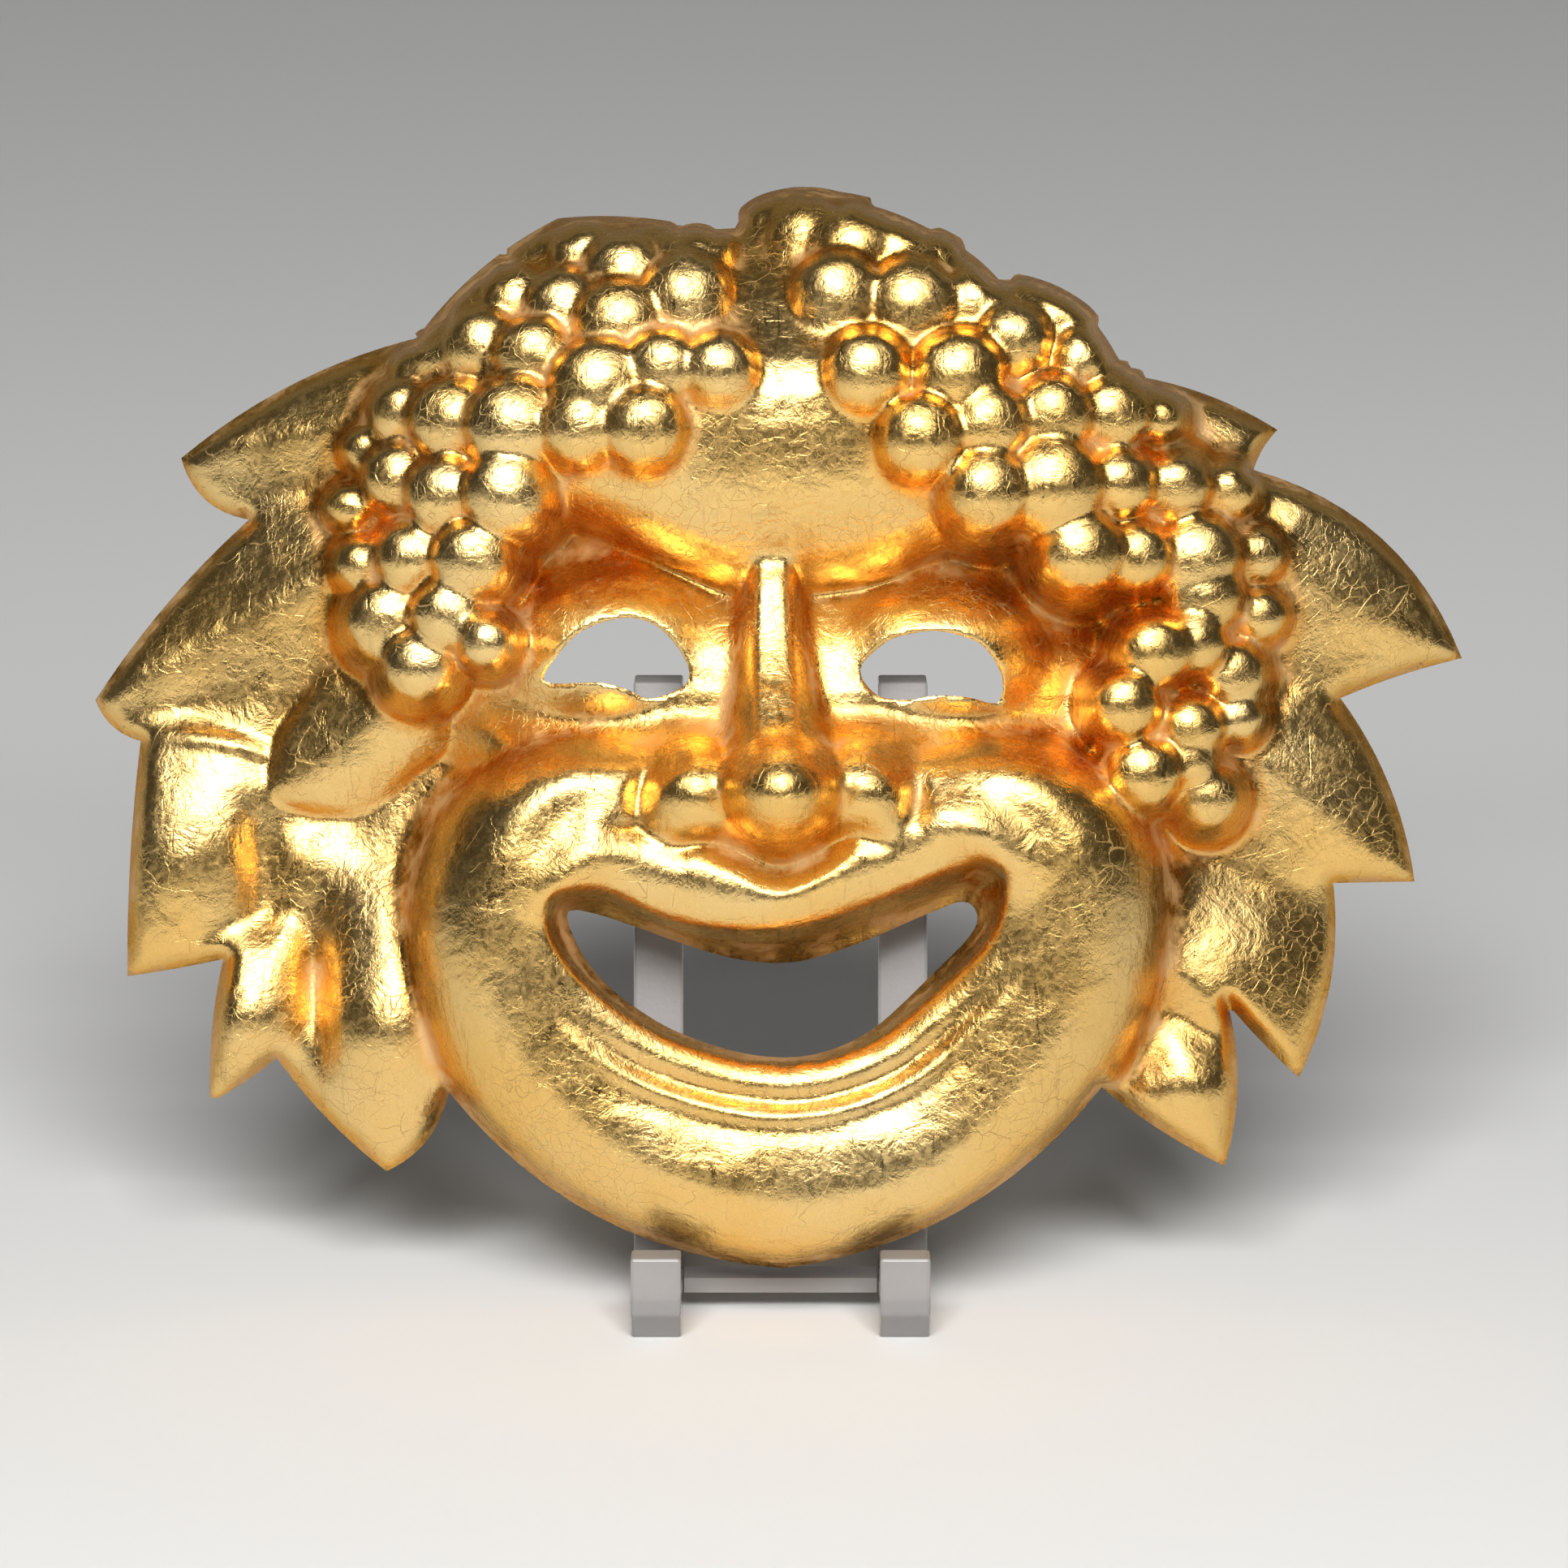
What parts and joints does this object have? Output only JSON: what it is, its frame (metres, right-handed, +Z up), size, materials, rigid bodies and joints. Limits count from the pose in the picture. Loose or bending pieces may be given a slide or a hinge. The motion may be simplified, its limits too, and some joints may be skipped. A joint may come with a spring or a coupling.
{
  "type": "venetian mask",
  "caption": "Gilded laughing theatre mask with grape clusters and vine leaves, open eyes and mouth, standing on a clear acrylic easel.",
  "frame": {"origin": "on the table, under the middle of the whole object's box", "axes": "+X to the right of someone who faces the mask, +Y behind the mask, +Z up"},
  "size_m": [0.2808, 0.1198, 0.2214],
  "materials": {
    "gold_leaf": "burnished gold leaf over papier mache, worn and finely cracked; the inside bare and matt",
    "clear_acrylic": "clear acrylic sheet with flame-polished edges and satin front faces"
  },
  "bodies": {
    "root": {"mask": "gold_leaf", "easel_side_left": "clear_acrylic", "easel_side_right": "clear_acrylic", "easel_crossbar": "clear_acrylic"}
  },
  "joints": []
}
